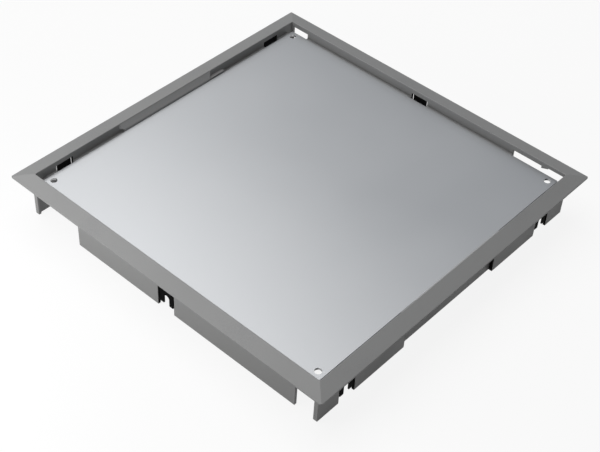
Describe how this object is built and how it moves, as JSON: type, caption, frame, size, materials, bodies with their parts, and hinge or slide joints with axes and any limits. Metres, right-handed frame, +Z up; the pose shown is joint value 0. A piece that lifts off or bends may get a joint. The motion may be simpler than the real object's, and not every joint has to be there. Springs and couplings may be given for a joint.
{
  "type": "floor box blank cover",
  "caption": "Square blank cover for a floor box: flat metal plate sunk in a grey moulded frame with a sloping rim and a skirt with windows and clips.",
  "frame": {"origin": "middle of the square at the foot of the skirt", "axes": "+Z up through the cover plate, square to the floor; +X to the right and +Y to the back along the sides, with one of the two walls that have gaps at their corners at the front, -Y"},
  "size_m": [0.262, 0.262, 0.0331],
  "materials": {
    "frame_plastic": "fine matt texture, mid grey",
    "plate_metal": "galvanised sheet, fine even grain, satin",
    "clip_plastic": "smooth, black"
  },
  "bodies": {
    "root": {"frame": "frame_plastic", "cover_plate": "plate_metal", "front_clip": "clip_plastic", "rear_clip": "clip_plastic", "right_front_clip": "clip_plastic", "right_rear_clip": "clip_plastic", "left_front_clip": "clip_plastic", "left_rear_clip": "clip_plastic"}
  },
  "joints": []
}
